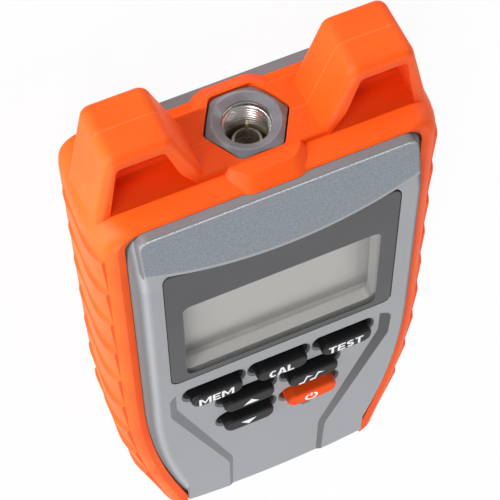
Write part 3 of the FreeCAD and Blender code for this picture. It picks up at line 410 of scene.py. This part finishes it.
def turned_metal(name, colour_ink, rough, mark_scale, thread=0.0):
    """Plated metal with turning marks round the port's axis; deep in the bore it is less metallic and painted
    a darker brown as shade.

    thread is the share of the thread's fine ridges in the relief.
    """
    f = Finish(name)
    vector, (x, y, z) = f.place()
    rings = f.node("ShaderNodeTexNoise", {"noise_dimensions": "2D"},
                   {"Vector": f.node("ShaderNodeCombineXYZ", None, {0: port_radius(x, z), 1: y * 0.5}),
                    "Scale": mark_scale, "Detail": 2.0})
    turns = y * (2 * math.pi / THREAD_PITCH)
    ridge = turns.math("SINE", turns)
    cloud = f.noise(vector, 0.35, 2.0)
    colour = f.blend(cloud.fade(0.2, 0.8), colour_ink, NICKEL_SOFT_INK)
    # painted shade: deep in the bore the colour turns darker brown, and the metal less metallic
    deep_in_bore = y.fade(BORE_DEEP_Y + 2.0, BORE_DEEP_Y - 2.0)
    colour = f.blend(deep_in_bore, colour, BORE_DEEP_SHADE_INK)
    roughness = rough + 0.16 * (rings - 0.5) + 0.08 * (cloud - 0.5)
    height = rings * 0.15 + ridge * thread
    return f.skin(Base_Color=colour, Metallic=1.0 - 0.5 * deep_in_bore, Roughness=roughness,
                  Normal=f.bump(height, 0.1, 0.6))


def plain_metal(name, colour_ink, rough):
    """Plated or drawn sheet metal with faint clouding."""
    f = Finish(name)
    vector, _ = f.place()
    cloud = f.noise(vector, 0.6, 3.0)
    fine = f.noise(vector, 9.0, 1.0)
    colour = f.blend(cloud.fade(0.25, 0.8), colour_ink, SHEET_SOFT_INK)
    return f.skin(Base_Color=colour, Metallic=1.0, Roughness=rough + 0.12 * (cloud - 0.5),
                  Normal=f.bump(fine, 0.01, 0.3))


def moulding(name, first_ink, second_ink, rough, grain_scale=4.0):
    """Moulded plastic or rubber with a fine grain."""
    f = Finish(name)
    vector, _ = f.place()
    grain = f.noise(vector, grain_scale, 2.0)
    cloud = f.noise(vector, 0.2, 2.0)
    colour = f.blend(cloud.fade(0.3, 0.75), first_ink, second_ink)
    return f.skin(Base_Color=colour, Roughness=rough + 0.12 * (grain - 0.5), Normal=f.bump(grain, 0.03, 0.4))


def board_finish():
    """Green lacquered circuit board with copper tracks showing through."""
    f = Finish("board_green")
    vector, _ = f.place()
    lanes = f.node("ShaderNodeTexVoronoi", {"feature": "F1", "distance": "CHEBYCHEV"},
                   {"Vector": vector, "Scale": 0.45, "Randomness": 0.6})
    track = lanes.math("PINGPONG", lanes, 0.12).fade(0.055, 0.065)
    colour = f.blend(track, BOARD_INK, TRACK_INK)
    return f.skin(Base_Color=colour, Roughness=0.32 + 0.06 * track, Normal=f.bump(track, 0.03, 0.4))


def print_finish(name, first_ink, second_ink):
    """Screen print with a faint mottle."""
    f = Finish(name)
    vector, _ = f.place()
    grain = f.noise(vector, 9.0, 2.0)
    colour = f.blend(grain.fade(0.3, 0.8), first_ink, second_ink)
    return f.skin(Base_Color=colour, Roughness=0.5 + 0.1 * (grain - 0.5))


FINISHES = {
    "cover_grey": cover_finish(),
    "boot_orange": boot_finish(),
    "lens_plastic": lens_finish(),
    "display_glass": display_finish(),
    "dark_plastic": moulding("dark_plastic", ink(44, 44, 46), ink(36, 36, 38), 0.5),
    "white_plastic": moulding("white_plastic", ink(232, 232, 228), ink(222, 222, 216), 0.4),
    "key_black": key_finish("key_black", KEY_SIDE_SHADE_INK, KEY_TOP_LIGHT_INK),
    "key_orange": key_finish("key_orange", ORANGE_KEY_SIDE_SHADE_INK, ORANGE_DEEP_INK),
    "keypad_rubber": moulding("keypad_rubber", ink(88, 88, 90), ink(78, 78, 80), 0.6),
    "strip_rubber": moulding("strip_rubber", ink(196, 158, 158), ink(150, 120, 120), 0.6, 8.0),
    "board_green": board_finish(),
    "dome_metal": plain_metal("dome_metal", ink(226, 224, 218), 0.22),
    "bush_grey": bush_finish(),
    "sleeve_nickel": turned_metal("sleeve_nickel", NICKEL_INK, 0.26, 4.0, 0.6),
    "pin_brass": turned_metal("pin_brass", ink(238, 230, 206), 0.18, 6.0),
    "screw_steel": plain_metal("screw_steel", ink(196, 196, 198), 0.32),
    "cell_sleeve": moulding("cell_sleeve", ink(64, 66, 72), ink(54, 56, 62), 0.3),
    "chip_black": moulding("chip_black", ink(34, 34, 36), ink(28, 28, 30), 0.6, 7.0),
    "can_aluminium": plain_metal("can_aluminium", ink(222, 223, 226), 0.26),
}
WHITE_PRINT = print_finish("white_print", PRINT_INK, PRINT_SOFT_INK)
DARK_PRINT = print_finish("dark_print", DARK_PRINT_INK, DARK_PRINT_SOFT_INK)

# Each node takes the finish of its material slot
for subpart in frame["record"]["subparts"]:
    mesh = NODES[subpart["node"]].data
    mesh.materials.clear()
    mesh.materials.append(FINISHES[subpart["material_slot"]])


def surface_point(node, x, y):
    """Point of a node's top surface below (x, y) in millimetres."""
    _, point, _, _ = NODES[node].ray_cast(Vector((x * MM, y * MM, ABOVE_ALL * MM)), Vector((0, 0, -1)))
    return point


def print_on(node, body, name, outlines, place, finish):
    """Lay closed outlines of (x, y) millimetre points on a node's top as one thin print of that body."""
    points, faces = [], []
    for outline in outlines:
        top = len(points)
        low = top + len(outline)
        ground = [surface_point(node, place[0] + x, place[1] + y) for x, y in outline]
        points += [point + Vector((0, 0, PRINT_PROUD * MM)) for point in ground]
        points += [point - Vector((0, 0, PRINT_SINK * MM)) for point in ground]
        for a, b, c in tessellate_polygon([[Vector((x, y, 0)) for x, y in outline]]):
            faces += [(top + a, top + b, top + c), (low + c, low + b, low + a)]
        for i in range(len(outline)):
            j = (i + 1) % len(outline)
            faces.append((top + i, low + i, low + j, top + j))
    mesh = bpy.data.meshes.new(name)
    mesh.from_pydata(points, [], faces)
    shape = bmesh.new()
    shape.from_mesh(mesh)
    bmesh.ops.recalc_face_normals(shape, faces=shape.faces)
    shape.to_mesh(mesh)
    shape.free()
    mesh.materials.append(finish)
    piece = bpy.data.objects.new(name, mesh)
    bpy.context.scene.collection.objects.link(piece)
    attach(piece, body)


def ribbon(points, width):
    """Closed outline of an open line with that width, its corners mitred."""
    left, right = [], []
    for i, here in enumerate(points):
        here = Vector(here)
        before = Vector(points[max(i - 1, 0)])
        after = Vector(points[min(i + 1, len(points) - 1)])
        into = (here - before).normalized() if i else (after - here).normalized()
        away = (after - here).normalized() if i < len(points) - 1 else into
        bisector = (into + away).normalized()
        side = Vector((-bisector.y, bisector.x))
        reach = width / 2 / max(0.35, abs(side.dot(Vector((-into.y, into.x)))))
        left.append(here + side * reach)
        right.append(here - side * reach)
    return [tuple(p) for p in left + right[::-1]]


def arc(centre, across, along, start, end, steps=28):
    """Points on an ellipse, from one angle to another in degrees."""
    turns = [math.radians(start + (end - start) * i / steps) for i in range(steps + 1)]
    return [(centre[0] + across * math.cos(turn), centre[1] + along * math.sin(turn)) for turn in turns]


def bar(x0, x1, y0, y1):
    """Outline of an upright rectangle."""
    return [(x0, y0), (x1, y0), (x1, y1), (x0, y1)]


def letter(sign):
    """Outlines of a plain bold capital that stands on y = 0 from x = 0."""
    w, h, t = LETTER_WIDTHS[sign], LETTER_HEIGHT, LETTER_STROKE
    middle = w / 2
    bowl = middle - t / 2
    if sign == "A":
        legs = [(0, 0), (middle - 0.6 * t, h), (middle + 0.6 * t, h), (w, 0), (w - 1.1 * t, 0),
                (middle, 0.76 * h), (1.1 * t, 0)]
        return [legs, bar(0.3 * w, 0.7 * w, 0.2 * h, 0.2 * h + 0.8 * t)]
    if sign == "C":
        return [ribbon(arc((middle, h / 2), bowl, (h - t) / 2, 48, 312), t)]
    if sign == "E":
        return [[(0, 0), (w, 0), (w, t), (t, t), (t, (h - t) / 2), (0.9 * w, (h - t) / 2),
                 (0.9 * w, (h + t) / 2), (t, (h + t) / 2), (t, h - t), (w, h - t), (w, h), (0, h)]]
    if sign == "L":
        return [[(0, 0), (w, 0), (w, t), (t, t), (t, h), (0, h)]]
    if sign == "M":
        return [[(0, 0), (t, 0), (t, 0.68 * h), (middle, 0.1 * h), (w - t, 0.68 * h), (w - t, 0), (w, 0),
                 (w, h), (w - 1.15 * t, h), (middle, 0.42 * h), (1.15 * t, h), (0, h)]]
    if sign == "S":
        curl = (h - t) / 4
        upper = arc((middle, h - t / 2 - curl), bowl, curl, 30, 270, 16)
        lower = arc((middle, t / 2 + curl), bowl, curl, 90, -150, 16)
        return [ribbon(upper + lower[1:], t)]
    return [bar(0, w, h - t, h), bar(middle - t / 2, middle + t / 2, 0, h - t)]


def moved(outlines, x, y):
    """The same outlines, shifted."""
    return [[(px + x, py + y) for px, py in outline] for outline in outlines]


def word(text):
    """Outlines of a word, centred."""
    outlines = []
    end = 0.0
    for before, sign in zip(" " + text, text):
        start = end + LETTER_GAP - LETTER_TUCK.get(before + sign, 0.0) if end else 0.0
        outlines += moved(letter(sign), start, 0.0)
        end = start + LETTER_WIDTHS[sign]
    return moved(outlines, -end / 2, -LETTER_HEIGHT / 2)


def pulse():
    """One step of the tone sign: a low bar, a thin rise and a tapered tick."""
    rise = ribbon([(-1.75, -1.15), (-1.0, 1.3)], 0.45)
    return [bar(-3.1, -1.6, -1.7, -0.95), rise, [(-1.15, 1.55), (0.45, 0.55), (-0.95, 0.5)]]


# Signs on the keys, and the lamp sign below them, about the middle of each
UP_SIGN = [[(-1.3, -0.9), (2.5, -0.9), (0.6, 1.2)]]
DOWN_SIGN = [[(-1.9, 1.0), (0, -1.1), (1.9, 1.0)]]
TONE_SIGN = moved(pulse(), -0.4, 0) + moved(pulse(), 2.4, 0)
POWER_SIGN = [ribbon(arc((0, 0), 1.4, 1.4, 118, 422), 0.55), bar(-0.27, 0.27, 0.3, 1.75)]
LAMP_SIGN = [ribbon(arc((0, 0.2), 0.95, 0.95, -50, 230), 0.35), bar(-1.4, 1.4, -1.55, -1.15),
             bar(-1.0, 1.0, -2.3, -1.9)]

# Each legend rides with its key
KEY_SIGNS = {"mem": word("MEM"), "cal": word("CAL"), "test": word("TEST"), "up": UP_SIGN, "down": DOWN_SIGN,
             "tone": TONE_SIGN, "power": POWER_SIGN}
for key, sign in KEY_SIGNS.items():
    low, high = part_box("key_" + key)
    middle = (low + high) / 2 / MM
    place = (middle.x + KEY_PRINT_SHIFT[0], middle.y + KEY_PRINT_SHIFT[1])
    print_on("key_" + key, key + "_key", "legend_" + key, sign, place, WHITE_PRINT)
print_on("front_cover", "case", "lamp_sign", LAMP_SIGN, LAMP_SIGN_PLACE, DARK_PRINT)


def set_camera():
    """Camera at the photograph's viewing angle."""
    data = bpy.data.cameras.new("photo_camera")
    data.lens = CAMERA_LENS_MM
    data.sensor_width = CAMERA_SENSOR_MM
    data.clip_start = 0.01
    eye = bpy.data.objects.new("photo_camera", data)
    bpy.context.scene.collection.objects.link(eye)
    turn = Matrix((CAMERA_RIGHT, CAMERA_UP, CAMERA_RIGHT.cross(CAMERA_UP))).transposed().to_4x4()
    eye.matrix_world = Matrix.Translation(CAMERA_PLACE) @ turn
    bpy.context.scene.camera = eye


def lamp(name, place, width, height, light):
    """Soft light aimed at the meter; light is what a white card that faces it there would show."""
    data = bpy.data.lights.new(name, "AREA")
    data.shape = "RECTANGLE"
    data.size = width
    data.size_y = height
    data.energy = light * math.pi ** 2 * Vector(place).length_squared
    source = bpy.data.objects.new(name, data)
    bpy.context.scene.collection.objects.link(source)
    source.location = place
    source.rotation_euler = Vector(place).to_track_quat("Z", "Y").to_euler()


def shown_rays(f):
    """1 for rays from the camera, from gloss and through glass."""
    kinds = [f.node("ShaderNodeLightPath", output=name)
             for name in ("Is Camera Ray", "Is Glossy Ray", "Is Transmission Ray")]
    return kinds[0].most(kinds[1]).most(kinds[2])


def lay_floor():
    """Pale floor that takes the meter's shadow."""
    f = Finish("studio_floor")
    lit = f.node("ShaderNodeBsdfDiffuse", None, {"Color": FLOOR_INK})
    white = f.node("ShaderNodeEmission", None, {"Color": (1, 1, 1, 1), "Strength": 1.0})
    f.surface(f.node("ShaderNodeMixShader", None, {0: shown_rays(f) * FLOOR_WHITE, 1: lit, 2: white}))
    mesh = bpy.data.meshes.new("studio_floor")
    corners = [(x * FLOOR_REACH, y * FLOOR_REACH, 0) for x, y in bar(-1, 1, -1, 1)]
    mesh.from_pydata(corners, [], [(0, 1, 2, 3)])
    mesh.materials.append(f.material)
    floor = bpy.data.objects.new("studio_floor", mesh)
    bpy.context.scene.collection.objects.link(floor)


def set_surroundings():
    """White surroundings that darken overhead."""
    f = Finish("studio_white", bpy.data.worlds)
    direction = f.node("ShaderNodeTexCoord", output="Generated")
    overhead = f.node("ShaderNodeSeparateXYZ", None, {0: direction}, "Z").fade(0.1, 0.5)
    shown = shown_rays(f)
    strength = shown * (1.0 - OVERHEAD_FALL * overhead) + (1.0 - shown) * WORLD_LIGHT
    sky = f.node("ShaderNodeBackground", None, {"Color": (1, 1, 1, 1), "Strength": strength})
    f.node("ShaderNodeOutputWorld", None, {"Surface": sky})
    bpy.context.scene.world = f.material


set_camera()
lay_floor()
set_surroundings()
for name, (place, width, height, light) in LAMPS.items():
    lamp(name, place, width, height, light)
bpy.context.scene.view_settings.view_transform = "Standard"
